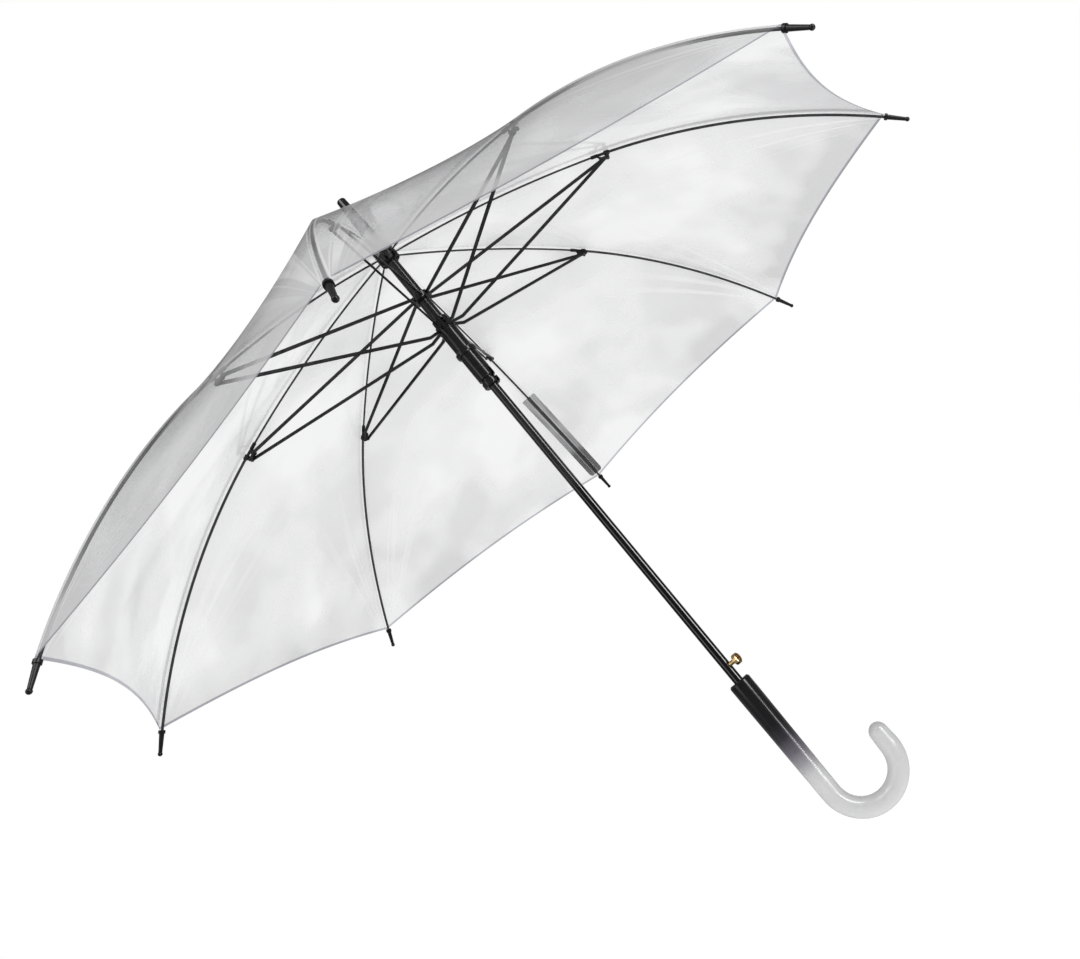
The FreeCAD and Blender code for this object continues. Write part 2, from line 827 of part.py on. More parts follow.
def build_canopy():
    outline = film_outline()
    lengths = [0.0]
    for a, b in zip(outline, outline[1:]):
        lengths.append(lengths[-1] + (b - a).Length)
    total = lengths[-1]

    def on_rib(s):
        for n in range(1, len(outline)):
            if s <= lengths[n] or n == len(outline) - 1:
                share = (s - lengths[n - 1]) / (lengths[n] - lengths[n - 1])
                return outline[n - 1] + (outline[n] - outline[n - 1]) * share

    pitch = 360 / size("rib_count")
    rim = 2 * outline[-1].x * math.sin(math.radians(pitch / 2))
    panels, columns = [], 8
    near, far = FreeCAD.Rotation(Z_AXIS, 0), FreeCAD.Rotation(Z_AXIS, pitch)
    grid = []
    for s in lengths:
        row = []
        for c in range(columns + 1):
            v = c / columns
            middle = 4 * v * (1 - v)
            here = s * (1 - size("rim_scallop") * rim * middle / total)
            rib_point = on_rib(here)
            chord = 2 * rib_point.x * math.sin(math.radians(pitch / 2))
            point = near.multVec(rib_point) * (1 - v) + far.multVec(rib_point) * v
            point.z -= size("panel_dip") * chord * middle
            row.append(point)
        grid.append(row)
    surface = Part.BSplineSurface()
    surface.interpolate(grid)
    gore = surface.toShape().extrude(V(0, 0, size("film_thickness")))
    for k in range(int(size("rib_count"))):
        panel = gore.copy()
        panel.rotate(V(0, 0, 0), Z_AXIS, pitch * k)
        panels.append(panel)
    whole = panels[0].multiFuse(panels[1:])
    canopy = doc.addObject("Part::Feature", "canopy_film")
    canopy.Shape = whole
    finish(canopy, "canopy")


def build_strap(centre, arch):
    """A strap sewn over one rib's seam, lying on the film, with its snap."""
    turn = 360 / size("rib_count") * (size("strap_rib") - 1)
    gap = size("loose_gap")
    under = arch + size("film_lift") + size("film_thickness") * 1.5 + gap
    thick, wide = size("strap_thickness"), size("strap_width")
    start = angle_of(centre, flex) - math.degrees(size("strap_start") / arch)
    sweep = math.degrees(size("strap_length") / arch)
    out = along(in_plane(0, 0), start - sweep, 1)
    onward = along(in_plane(0, 0), start - sweep + 90, 1)
    lie = FreeCAD.Rotation(out, onward, out.cross(onward), "ZXY")
    middle = centre + V(0, wide / 2, 0)
    outer = made("Part::Cylinder", "strap_over", at(middle, lie), Height="sizes.strap_width")
    inner = made("Part::Cylinder", "strap_under", at(middle, lie), Height="sizes.strap_width")
    outer.Radius, inner.Radius = under + thick, under
    outer.Angle = inner.Angle = sweep
    finish(cut("strap_curved", outer, inner), "strap", turn)
    pieces = []
    for n, degrees in enumerate((start - sweep + 1.1, start - 1.1)):
        base = along(centre, degrees, under + thick + 0.02)
        heading = FreeCAD.Rotation(Z_AXIS, along(in_plane(0, 0), degrees, 1))
        low = made(
            "Part::Cylinder", f"snap_{n}_base", at(base, heading), Radius="sizes.snap_radius", Height=0.8
        )
        top = made(
            "Part::Cone",
            f"snap_{n}_top",
            at(base + heading.multVec(V(0, 0, 0.8)), heading),
            Radius1="sizes.snap_radius",
            Radius2="sizes.snap_radius * 0.55",
            Height="sizes.snap_height - 0.8",
        )
        pieces += [low, top]
    finish(joined("snap_pair", pieces), "snap_fastener", turn)
    return start, under


build_shaft()
build_ferrule()
build_collar()
build_crown()
build_upper_runner()
build_lower_runner()
build_spring()
build_button()
build_handle()
for k in range(1, int(size("rib_count")) + 1):
    turn = 360 / size("rib_count") * (k - 1)
    inner_rod = build_inner_rib(k, turn)
    joint_name, joint_whole, _ = build_joint(k, turn)
    finish(cut(joint_name + "_bored", joint_whole, inner_rod), f"rib_joint_{k}", turn)
    outer_rod, outer_centre, outer_arch = build_outer_rib(k, turn)
    build_cap(k, turn, outer_rod)
    strut_piece(f"main_{k}", f"stretcher_{k}", turn, upper_eye, main_pivot, 1, False)
    strut_piece(f"second_{k}", f"strut_{k}", turn, lower_eye, second_pivot, -1, True)
build_canopy()
strap_angle, strap_radius = build_strap(outer_centre, outer_arch)
doc.recompute()

for thing in doc.Objects:
    if "Invalid" in thing.State or "Error" in thing.State:
        raise RuntimeError(f"{thing.Name} is {thing.State}")
    if hasattr(thing, "Shape") and (thing.Shape.isNull() or not thing.Shape.isValid()):
        raise RuntimeError(f"{thing.Name} has no valid shape")

os.makedirs("parts", exist_ok=True)
for node in nodes:
    node.Shape.exportStep(f"parts/{node.Label}.step")

strap_sewn = along(outer_centre, strap_angle, strap_radius + size("strap_thickness") / 2)
for words, point in (
    ("crown_hinge", crown_hinge),
    ("joint", joint),
    ("flex", flex),
    ("main_pivot", main_pivot),
    ("second_pivot", second_pivot),
    ("tip", tip),
    ("upper_eye", upper_eye),
    ("lower_eye", lower_eye),
    ("strap_sewn", strap_sewn),
):
    print(f"POINT {words} {point.x:.5f} {point.z + raise_by:.5f}")
for words, number in (
    ("strut_offset", strut_offset),
    ("upper_travel", upper_travel),
    ("lower_travel", lower_travel),
    ("fold", fold),
    ("flex_turn", flex_turn),
    ("main_swing", main_swing),
    ("second_swing", second_swing),
    ("outer_chord", outer_chord),
    ("outer_length", outer_length),
    ("crank_rise", crank_rise),
):
    print(f"NUMBER {words} {number:.6f}")
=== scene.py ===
import math

import bpy
from mathutils import Matrix, Vector


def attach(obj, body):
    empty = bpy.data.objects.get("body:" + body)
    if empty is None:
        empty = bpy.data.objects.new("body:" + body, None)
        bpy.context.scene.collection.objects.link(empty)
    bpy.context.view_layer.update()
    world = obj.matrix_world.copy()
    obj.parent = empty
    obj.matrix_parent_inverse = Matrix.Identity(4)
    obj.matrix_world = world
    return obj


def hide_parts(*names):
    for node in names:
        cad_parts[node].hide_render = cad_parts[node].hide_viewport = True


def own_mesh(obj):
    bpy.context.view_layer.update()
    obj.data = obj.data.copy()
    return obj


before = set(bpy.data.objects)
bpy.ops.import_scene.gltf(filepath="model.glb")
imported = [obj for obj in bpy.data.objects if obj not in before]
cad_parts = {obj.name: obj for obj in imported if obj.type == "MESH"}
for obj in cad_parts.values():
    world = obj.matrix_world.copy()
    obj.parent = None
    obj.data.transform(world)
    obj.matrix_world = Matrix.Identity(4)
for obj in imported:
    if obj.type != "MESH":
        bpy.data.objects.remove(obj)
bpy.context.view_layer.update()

bpy.ops.object.select_all(action="DESELECT")

# The umbrella's own measures, in metres and in the frame's rows: +Z up the shaft, +X to the hook.
RIBS = 8
PITCH = 2 * math.pi / RIBS
CROWN_HINGE = (0.009, 0.670)
JOINT = (0.252741, 0.600339)
FLEX = (0.262048, 0.596682)
TIP = (0.527, 0.402)
INNER_BOW = math.radians(5.5)
OUTER_BOW = math.radians(13.5)

# The film. Its line over a rib runs down a cone at the crown, then the inner and the outer rib.
FILM_LIFT = 0.0030
FILM_APEX = (0.0059, 0.6753)
CAP_HOLD = 0.0274
RIM_SCALLOP = 0.065
PANEL_DIP = 0.035
HEM_WIDTH = 0.0030
CONE_STEPS = 20
INNER_STEPS = 40
OUTER_STEPS = 80
PANEL_COLUMNS = 14
UPPER_ROWS = 32
LOWER_ROWS = 44
HEM_ROWS = 2
# A folded panel's share of its thickness.
UPPER_FOLDED = 0.12
LOWER_FOLDED = 0.060

# The strap lies over an outer rib, from its sewn end towards the tip.
STRAP_RIB = 3
STRAP_START = 0.110
STRAP_LENGTH = 0.188
STRAP_WIDTH = 0.0214
STRAP_THICKNESS = 0.0011
STRAP_LIFT = 0.0036
STRAP_ROUNDED_END = 0.005
STRAP_END_NARROWING = 0.25
STRAP_EDGE = 0.0003
STITCH_PITCH = 0.0032
STITCH_INSET = 0.0022
STITCH_MARGIN = 0.004
STITCH_RADII = (STITCH_PITCH * 0.40, 0.00028, 0.00018)

# The handle's colour fades between these heights.
FADE_TOP = 0.070
FADE_FOOT = -0.060

# How bright shiny surfaces see their surroundings, where white is 1.
MIRRORED_DARK = 0.10
MIRRORED_FLOOR = 0.30
MIRRORED_CEILING = 0.30
MIRRORED_BACKDROP = 1.25

# The room. The floor lies just under the hook, and one strip lamp lies on the floor.
ROOM_FILL = 0.42
FLOOR_Z = -0.1197
FLOOR_RADIUS = 3.0
FLOOR_GLOW = 1.18
FLOOR_GLOW_SHARE = 0.8
FLOOR_STRIP = (0.93, -0.67, -0.118)

# The photograph's viewpoint: the picture's own directions, and where it was taken from.
PHOTO_RIGHT = Vector((0.76155, 0.10881, -0.63890))
PHOTO_DOWN = Vector((-0.64800, 0.13944, -0.74869))
PHOTO_AHEAD = Vector((0.00759, 0.98422, 0.17674))
PHOTO_EYE = (0.08029, -1.09281, 0.11350)
PHOTO_LENS_MM = 35.01
PHOTO_SHIFT = (-0.10576, -0.0296)


# ------------------------------------------------------------- wiring of nodes


def feed(tree, node, inputs):
    """Sets a node's inputs, by name or number, to plain values or to other nodes' outputs."""
    for key, value in inputs.items():
        if isinstance(value, bpy.types.NodeSocket):
            tree.links.new(value, node.inputs[key])
        else:
            node.inputs[key].default_value = value


def add(tree, kind, inputs):
    """A new node with its inputs fed."""
    node = tree.nodes.new(kind)
    feed(tree, node, inputs)
    return node


def maths(tree, operation, *values, clamp=False):
    """One step of arithmetic on numbers and other nodes' outputs."""
    node = add(tree, "ShaderNodeMath", {})
    node.operation = operation
    node.use_clamp = clamp
    feed(tree, node, dict(enumerate(values)))
    return node.outputs["Value"]


def product(tree, first, *others):
    """All the values multiplied together."""
    for other in others:
        first = maths(tree, "MULTIPLY", first, other)
    return first


def ramp(tree, source, stops, blend="LINEAR"):
    """Colours, or plain numbers, read off between stops."""
    node = add(tree, "ShaderNodeValToRGB", {"Fac": source})
    node.color_ramp.interpolation = blend
    elements = node.color_ramp.elements
    while len(elements) < len(stops):
        elements.new(0.5)
    for element, (place, colour) in zip(elements, stops):
        element.position = place
        element.color = (colour, colour, colour, 1) if isinstance(colour, float) else (*colour, 1)
    return node.outputs["Color"]


def mixed(tree, share, first, second):
    """The first shader, with the second blended in by a share."""
    return add(tree, "ShaderNodeMixShader", {"Fac": share, 1: first, 2: second}).outputs["Shader"]


def coordinates(tree, vector):
    """A vector's X, Y and Z, each by its name."""
    return add(tree, "ShaderNodeSeparateXYZ", {"Vector": vector}).outputs


def own_place(tree):
    """A point's place in the umbrella's own frame."""
    return add(tree, "ShaderNodeTexCoord", {}).outputs["Object"]


def noise(tree, place, scale, detail):
    """Soft noise from 0 to 1 over any kind of place."""
    texture = add(tree, "ShaderNodeTexNoise", {"Vector": place, "Scale": scale, "Detail": detail})
    return texture.outputs["Fac"]


def clouds(tree, scale, detail, stretch=(1, 1, 1)):
    """Noise over the umbrella's own space, drawn out along an axis where asked."""
    place = add(tree, "ShaderNodeMapping", {"Vector": own_place(tree), "Scale": stretch})
    return noise(tree, place.outputs["Vector"], scale, detail)


def relief(tree, shader, height, strength, distance):
    """Fine unevenness of the skin, too small to be modelled."""
    bump = add(tree, "ShaderNodeBump", {"Height": height, "Strength": strength, "Distance": distance})
    feed(tree, shader, {"Normal": bump.outputs["Normal"]})


# ------------------------------------------------------------------ finishes


def new_finish(name):
    """A new material, its node tree and the tree's own shader."""
    material = bpy.data.materials.new(name)
    material.use_nodes = True
    tree = material.node_tree
    return material, tree, tree.nodes["Principled BSDF"]


def drifting(tree, source, dark, light, rough, spread):
    """A colour and a roughness that both vary with the same source."""
    return {
        "Base Color": ramp(tree, source, [(0.3, dark), (0.7, light)]),
        "Roughness": ramp(tree, source, [(0.25, rough), (0.75, rough + spread)]),
    }


def black_finish(name, base, rough, spread, grain, skin, coat=0.0, stretch=(1, 1, 1)):
    """Black lacquer, coating or moulded plastic: its colour, gloss and skin vary a little."""
    material, tree, shader = new_finish(name)
    dark = tuple(c * 0.7 for c in base)
    light = tuple(c * 1.5 for c in base)
    feed(tree, shader, drifting(tree, clouds(tree, 90, 4, stretch), dark, light, rough, spread))
    feed(tree, shader, {"Specular IOR Level": 0.35, "Coat Weight": coat, "Coat Roughness": 0.05})
    relief(tree, shader, clouds(tree, grain, 2, stretch), skin, 0.0004)
    return material


def metal_finish(name, dark, light, rough, spread, scale):
    """Bare or plated metal: its colour, gloss and skin vary a little."""
    material, tree, shader = new_finish(name)
    feed(tree, shader, drifting(tree, clouds(tree, scale, 4), dark, light, rough, spread))
    feed(tree, shader, {"Metallic": 1.0})
    relief(tree, shader, clouds(tree, scale * 5, 2), 0.06, 0.0002)
    return material


def handle_finish():
    """Glossy plastic that fades from black at the shaft to frosted white round the hook."""
    material, tree, shader = new_finish("handle_fade")
    down = add(tree, "ShaderNodeMapRange", {
        "Value": coordinates(tree, own_place(tree))["Z"],
        "From Min": FADE_TOP,
        "From Max": FADE_FOOT,
    })
    drift = clouds(tree, 30, 3)
    fade = maths(tree, "MULTIPLY_ADD", drift, 0.05, down.outputs["Result"])
    colour = ramp(tree, fade, [
        (0.0, (0.003, 0.003, 0.004)),
        (0.44, (0.004, 0.004, 0.006)),
        (0.58, (0.030, 0.027, 0.037)),
        (0.70, (0.16, 0.148, 0.18)),
        (0.80, (0.38, 0.37, 0.40)),
        (0.90, (0.69, 0.69, 0.70)),
        (1.0, (0.78, 0.78, 0.785)),
    ])
    feed(tree, shader, {
        "Base Color": colour,
        "Roughness": ramp(tree, drift, [(0.3, 0.24), (0.7, 0.32)]),
        "Specular IOR Level": ramp(tree, fade, [(0.5, 0.10), (0.8, 0.50)]),
        "Subsurface Weight": ramp(tree, fade, [(0.6, 0.0), (0.95, 0.35)]),
        "Subsurface Radius": (0.006, 0.006, 0.0065),
        "Subsurface Scale": 0.8,
        "Coat Weight": ramp(tree, fade, [(0.6, 0.80), (0.9, 0.50)]),
        "Coat Roughness": ramp(tree, fade, [(0.35, 0.11), (0.62, 0.16)]),
    })
    return material


def tip_fan(tree, sideways, inward):
    """The fan of lines that spreads from each rib's tip over the film.

    Gives how far aside of the rib a point's line leans, and a place for noise that stays nearly
    the same along a line and differs from rib to rib.
    """
    lean = maths(tree, "DIVIDE", sideways, maths(tree, "ADD", inward, 0.03))
    spot = coordinates(tree, own_place(tree))
    bearing = maths(tree, "ARCTAN2", spot["Y"], spot["X"])
    rib_number = maths(tree, "ROUND", maths(tree, "DIVIDE", bearing, PITCH))
    place = add(tree, "ShaderNodeCombineXYZ", {
        "X": maths(tree, "MULTIPLY", lean, 7.0),
        "Y": maths(tree, "MULTIPLY", inward, 1.2),
        "Z": maths(tree, "MULTIPLY", rib_number, 3.7),
    })
    return maths(tree, "ABSOLUTE", lean), place.outputs["Vector"]


def fan_marks(tree, sideways, inward):
    """Painted highlights: thin crease lines that fan out from each rib's tip and broad soft gleams between
    them; and their wave.
    """
    aside, fan = tip_fan(tree, sideways, inward)
    folds = noise(tree, fan, 1.3, 1.0)
    # painted highlight: pale lines along the creases that fan out from the tip
    sharp = ramp(tree, folds, [(0.575, 0.0), (0.61, 1.0), (0.63, 1.0), (0.665, 0.0)])
    near_tip = ramp(tree, inward, [(0.0, 1.0), (0.12, 0.8), (0.26, 0.0)])
    near_rib = ramp(tree, aside, [(0.0, 1.0), (0.22, 1.0), (0.42, 0.0)])
    painted_crease_highlight = product(tree, sharp, near_tip, near_rib)

    # painted highlight: broad soft gleams between the creases
    swells = noise(tree, fan, 0.55, 0.0)
    broad = ramp(tree, swells, [(0.53, 0.0), (0.56, 1.0), (0.60, 1.0), (0.63, 0.0)])
    reach = ramp(tree, inward, [(0.0, 0.0), (0.03, 1.0), (0.14, 0.7), (0.25, 0.0)])
    beside = ramp(tree, aside, [(0.0, 1.0), (0.28, 1.0), (0.55, 0.0)])
    painted_gleam = product(tree, broad, reach, beside)

    wave = maths(tree, "MULTIPLY_ADD", clouds(tree, 14, 1), 0.2, product(tree, folds, near_tip))
    return painted_crease_highlight, painted_gleam, wave


def seam_marks(tree, across):
    """The welded seam: the film stays clear over the rib, with a painted highlight as a pale line at each
    side of it.
    """
    centimetres = maths(tree, "MULTIPLY", across, 100.0)
    over_rib = ramp(tree, centimetres, [(0.20, 0.35), (0.30, 1.0)])
    # painted highlight: a pale line at each side of the rib
    line = ramp(tree, centimetres, [(0.24, 0.0), (0.32, 1.0), (0.38, 1.0), (0.46, 0.0)])
    return over_rib, line


def milkiness(tree, veil, aslant, across, inward):
    """The film's grey clouds, thicker seen aslant, towards the rim and beside the ribs."""
    cast = [(0.34, veil * 0.10), (0.50, veil), (0.64, veil * 1.85)]
    cloudy = ramp(tree, clouds(tree, 8.0, 2), cast, "EASE")
    thinning = maths(tree, "SUBTRACT", 1.0, maths(tree, "MULTIPLY", aslant, 0.20))
    depth = maths(tree, "DIVIDE", 1.0, thinning)
    rim_grey = ramp(tree, inward, [(0.0, 1.0), (0.05, 0.64), (0.20, 0.45)])
    decimetres = maths(tree, "MULTIPLY", across, 10.0)
    rib_grey = ramp(tree, decimetres, [(0.0, 1.0), (0.12, 0.75), (0.40, 0.0)])
    share = product(tree, cloudy, depth, rim_grey, 1.5)
    return maths(tree, "MULTIPLY_ADD", rib_grey, 0.14, share)


def film_finish(name, veil, tint, milk_tone, most_milk):
    """Clear film: see-through, with a milky cast that thickens seen aslant, seams and creases, and highlights
    painted in pale milk along the creases, beside the seams and in broad gleams.

    The pieces' UV map gives the distance across from the rib and in from the rim, in metres.
    """
    material, tree, milk = new_finish(name)
    where = add(tree, "ShaderNodeUVMap", {})
    where.uv_map = "film"
    place = coordinates(tree, where.outputs["UV"])
    sideways, inward = place["X"], place["Y"]
    across = maths(tree, "ABSOLUTE", sideways)
    aslant = add(tree, "ShaderNodeLayerWeight", {"Blend": 0.5}).outputs["Facing"]
    painted_crease_highlight, painted_gleam, wave = fan_marks(tree, sideways, inward)
    over_rib, line = seam_marks(tree, across)

    share = product(tree, milkiness(tree, veil, aslant, across, inward), over_rib)
    # the painted highlights also thicken the milky cast where they lie
    for mark, weight in ((line, 0.20), (painted_crease_highlight, 0.25), (painted_gleam, 0.20)):
        share = maths(tree, "MULTIPLY_ADD", mark, weight, share)
    share = maths(tree, "MINIMUM", share, most_milk)
    # pale: the painted highlight, which turns the milk's colour towards near-white
    pale = maths(tree, "MAXIMUM", maths(tree, "MAXIMUM", painted_crease_highlight, painted_gleam), line, clamp=True)
    feed(tree, milk, {
        "Base Color": ramp(tree, pale, [(0.0, milk_tone), (1.0, (0.95, 0.95, 0.955))]),
        "Roughness": 0.5,
        "Specular IOR Level": 0.1,
    })

    # what shows through darkens where the film is seen edge-on
    edge_on = tuple(c * 0.35 for c in tint)
    through = ramp(tree, aslant, [(0.0, tint), (0.84, tint), (0.97, edge_on)])
    clear = add(tree, "ShaderNodeBsdfTransparent", {"Color": through})
    body = mixed(tree, share, clear.outputs["BSDF"], milk.outputs["BSDF"])

    # the gloss is stronger aslant and alike on both faces
    shine = add(tree, "ShaderNodeBsdfGlossy", {"Color": (0.96, 0.965, 0.98, 1), "Roughness": 0.08})
    relief(tree, shine, wave, 0.10, 0.0012)
    steep = maths(tree, "POWER", aslant, 4.5)
    bounce = maths(tree, "MINIMUM", maths(tree, "MULTIPLY_ADD", steep, 0.60, 0.05), 0.32)
    skin = mixed(tree, bounce, body, shine.outputs["BSDF"])
    feed(tree, tree.nodes["Material Output"], {"Surface": skin})
    return material


def leatherette_finish():
    """Black leatherette: a pebbled grain with a soft sheen."""
    material, tree, shader = new_finish("strap_leatherette")
    pebbles = add(tree, "ShaderNodeTexVoronoi", {"Vector": own_place(tree), "Scale": 900})
    grain = pebbles.outputs["Distance"]
    black = [(0.3, (0.010, 0.010, 0.011)), (0.7, (0.026, 0.025, 0.026))]
    feed(tree, shader, {
        "Base Color": ramp(tree, clouds(tree, 60, 4), black),
        "Roughness": ramp(tree, grain, [(0.1, 0.36), (0.6, 0.58)]),
    })
    relief(tree, shader, grain, 0.5, 0.0003)
    return material


def thread_finish():
    """Black thread, with the fine waves of its plies."""
    material, tree, shader = new_finish("black_thread")
    waves = add(tree, "ShaderNodeTexWave", {"Vector": own_place(tree), "Scale": 900, "Distortion": 2})
    plies = waves.outputs["Fac"]
    black = [(0.2, (0.012, 0.012, 0.013)), (0.8, (0.05, 0.05, 0.052))]
    feed(tree, shader, {"Base Color": ramp(tree, plies, black), "Roughness": 0.7})
    relief(tree, shader, plies, 0.4, 0.0002)
    return material


# colour, roughness and its spread, how fine and how deep the skin is, coat, stretch
shaft_lacquer = black_finish("shaft_lacquer", (0.003, 0.003, 0.004), 0.14, 0.06, 120, 0.008, 0.8, (1, 1, 0.1))
rib_coating = black_finish("rib_coating", (0.010, 0.010, 0.011), 0.24, 0.12, 900, 0.06, 0.2)
wire_coating = black_finish("wire_coating", (0.034, 0.034, 0.037), 0.26, 0.12, 900, 0.06, 0.2)
moulded_gloss = black_finish("moulded_gloss", (0.004, 0.004, 0.005), 0.16, 0.08, 500, 0.02, 0.4)
cap_gloss = black_finish("cap_gloss", (0.004, 0.004, 0.005), 0.32, 0.06, 300, 0.01)
moulded_satin = black_finish("moulded_satin", (0.008, 0.008, 0.009), 0.30, 0.14, 900, 0.08)
# the darkest and the lightest colour, roughness and its spread, how fine the drift is
brass_polish = metal_finish("brass_polish", (0.50, 0.32, 0.13), (0.80, 0.57, 0.28), 0.14, 0.12, 220)
nickel_plate = metal_finish("nickel_plate", (0.62, 0.62, 0.60), (0.80, 0.80, 0.79), 0.12, 0.14, 260)
spring_steel = metal_finish("spring_steel", (0.30, 0.30, 0.30), (0.50, 0.50, 0.51), 0.25, 0.15, 300)
handle_fade = handle_finish()
clear_film = film_finish(
    "clear_film", veil=0.36, tint=(0.945, 0.946, 0.948), milk_tone=(0.72, 0.72, 0.728), most_milk=0.82)
hem_film = film_finish(
    "hem_film", veil=0.48, tint=(0.56, 0.565, 0.61), milk_tone=(0.38, 0.38, 0.42), most_milk=0.92)
strap_leatherette = leatherette_finish()
black_thread = thread_finish()

FINISH_OF = {
    "shaft": shaft_lacquer,
    "ferrule": moulded_gloss,
    "canopy_collar": moulded_gloss,
    "crown": moulded_satin,
    "handle": handle_fade,
    "upper_runner": moulded_gloss,
    "lower_runner": moulded_gloss,
    "opening_spring": spring_steel,
    "release_button": brass_polish,
    "snap_fastener": nickel_plate,
    "rib_inner": wire_coating,
    "rib_outer": wire_coating,
    "rib_joint": moulded_satin,
    "stretcher": rib_coating,
    "strut": rib_coating,
    "tip_cap": cap_gloss,
}


def dress_frame():
    """Gives each kept solid the finish of its own name, or of its name without the number."""
    for node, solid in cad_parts.items():
        finish = FINISH_OF.get(node) or FINISH_OF.get(node.rsplit("_", 1)[0])
        if finish:
            solid.data.materials.clear()
            solid.data.materials.append(finish)


def build_spring():
    """The opening spring, copied from its solid and carried by the lower runner."""
    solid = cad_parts["opening_spring"]
    coil = bpy.data.objects.new("spring_coil", solid.data.copy())
    bpy.context.collection.objects.link(coil)
    coil.data.transform(solid.matrix_world)
    bpy.context.view_layer.objects.active = coil
    coil.select_set(True)
    bpy.ops.object.mode_set(mode="EDIT")
    bpy.ops.mesh.select_all(action="SELECT")
    bpy.ops.mesh.remove_doubles(threshold=0.00001)
    bpy.ops.object.mode_set(mode="OBJECT")
    bpy.ops.object.shade_smooth()
    coil.select_set(False)
    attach(coil, "lower_runner")
    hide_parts("opening_spring")
    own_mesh(coil)


# ------------------------------------------------------------- the rib's line


def arch_between(start, end, bow):
    """The centre and radius of the upward arc from one point of the rib's plane to another."""
    (x0, z0), (x1, z1) = start, end
    radius = math.hypot(x1 - x0, z1 - z0) / (2 * math.sin(bow))
    slope = math.atan2(z1 - z0, x1 - x0)
    reach = radius * math.cos(bow)
    return ((x0 + x1) / 2 + math.sin(slope) * reach, (z0 + z1) / 2 - math.cos(slope) * reach), radius


def polar(centre, angle, radius):
    """A point at an angle and a distance from a centre."""
    return centre[0] + radius * math.cos(angle), centre[1] + radius * math.sin(angle)


def seen_from(centre, point):
    """The angle at which a point stands from a centre."""
    return math.atan2(point[1] - centre[1], point[0] - centre[0])


def arc(centre, radius, begin, end, count):
    """Points of an arc, from one angle to another."""
    return [Vector(polar(centre, begin + (end - begin) * n / (count - 1), radius)) for n in range(count)]


def film_outline():
    """The film's line over a rib: a cone at the crown, then along the rib to the tip cap."""
    centre, radius = arch_between(CROWN_HINGE, JOINT, INNER_BOW)
    over = radius + FILM_LIFT
    reach = math.hypot(FILM_APEX[0] - centre[0], FILM_APEX[1] - centre[1])
    touch = seen_from(centre, FILM_APEX) - (math.acos(over / reach) if reach > over else 0)
    first = Vector(polar(centre, touch, over))
    line = [Vector(FILM_APEX).lerp(first, n / CONE_STEPS) for n in range(CONE_STEPS)]
    line += arc(centre, over, touch, seen_from(centre, JOINT), INNER_STEPS)
    centre, radius = arch_between(FLEX, TIP, OUTER_BOW)
    end = seen_from(centre, TIP) + CAP_HOLD / radius
    line += arc(centre, radius + FILM_LIFT, seen_from(centre, FLEX), end, OUTER_STEPS)
    return line


OUTLINE = film_outline()
LENGTHS = [0.0]
for a, b in zip(OUTLINE, OUTLINE[1:]):
    LENGTHS.append(LENGTHS[-1] + (b - a).length)
RIM_LENGTH = LENGTHS[-1]
FLEX_LENGTH = LENGTHS[CONE_STEPS + INNER_STEPS]
RIM_CHORD = 2 * OUTLINE[-1].x * math.sin(PITCH / 2)


def on_rib(s):
    """The film's point over the rib, at a length s along its outline from the crown."""
    for n in range(1, len(OUTLINE)):
        if s <= LENGTHS[n] or n == len(OUTLINE) - 1:
            share = (s - LENGTHS[n - 1]) / (LENGTHS[n] - LENGTHS[n - 1])
            return OUTLINE[n - 1].lerp(OUTLINE[n], share)


# ------------------------------------------------------------------ the canopy


def film_point(s, v):
    """A point of the film: s along the rib, and v across, from 0 on it to 0.5 at the panel's middle."""
    middle = 4 * v * (1 - v)
    rib = on_rib(s * (1 - RIM_SCALLOP * RIM_CHORD * middle / RIM_LENGTH))
    chord = 2 * rib.x * math.sin(PITCH / 2)
    x = rib.x * (1 - v) + rib.x * math.cos(PITCH) * v
    return Vector((x, rib.x * math.sin(PITCH) * v, rib.y - PANEL_DIP * chord * middle))


def film_normal(s, v):
    """The film's outward direction, the same on both sides of a join."""
    step = 0.0015
    along = film_point(min(s + step, RIM_LENGTH), v) - film_point(max(s - step, 0.0), v)
    over = film_point(s, v + 0.01) - film_point(s, v - 0.01)
    return along.cross(over).normalized() if over.length > 1e-7 else Vector((0, 0, 1))


def share_along(y, rows, hem_start):
    """Where a row of a rim panel's grid lies along it: its last two rows are drawn into the hem."""
    if y < 1 - (HEM_ROWS - 0.5) / rows:
        return y * rows / (rows - HEM_ROWS) * hem_start
    return hem_start + (y - 1 + HEM_ROWS / rows) * rows / HEM_ROWS * (1 - hem_start)


def half_panel(name, start, end, rows):
    """A flat grid of film drawn out over one side of a rib, with its hem at the rim."""
    bpy.ops.mesh.primitive_grid_add(x_subdivisions=PANEL_COLUMNS, y_subdivisions=rows, size=1)
    piece = bpy.context.object
    piece.name = name
    mesh = piece.data
    mesh.uv_layers.active.name = "film"
    hem_start = 1 - HEM_WIDTH / (end - start)
    spots = []
    for point in mesh.vertices:
        v, along = (point.co.x + 0.5) / 2, point.co.y + 0.5
        if end == RIM_LENGTH:
            along = share_along(along, rows, hem_start)
        spots.append((start + (end - start) * along, v))
    for point, (s, v) in zip(mesh.vertices, spots):
        point.co = film_point(s, v)
    film = mesh.uv_layers["film"].data
    for face in mesh.polygons:
        face.use_smooth = True
        for loop in face.loop_indices:
            corner = mesh.loops[loop].vertex_index
            film[loop].uv = (mesh.vertices[corner].co.y, RIM_LENGTH - spots[corner][0])
    mesh.materials.append(clear_film)
    mesh.materials.append(hem_film)
    hem_line = RIM_LENGTH - HEM_WIDTH * 1.01
    for face in mesh.polygons:
        face.material_index = int(min(spots[c][0] for c in face.vertices) > hem_line)
    piece.select_set(False)
    return piece, [film_normal(s, v) for s, v in spots]


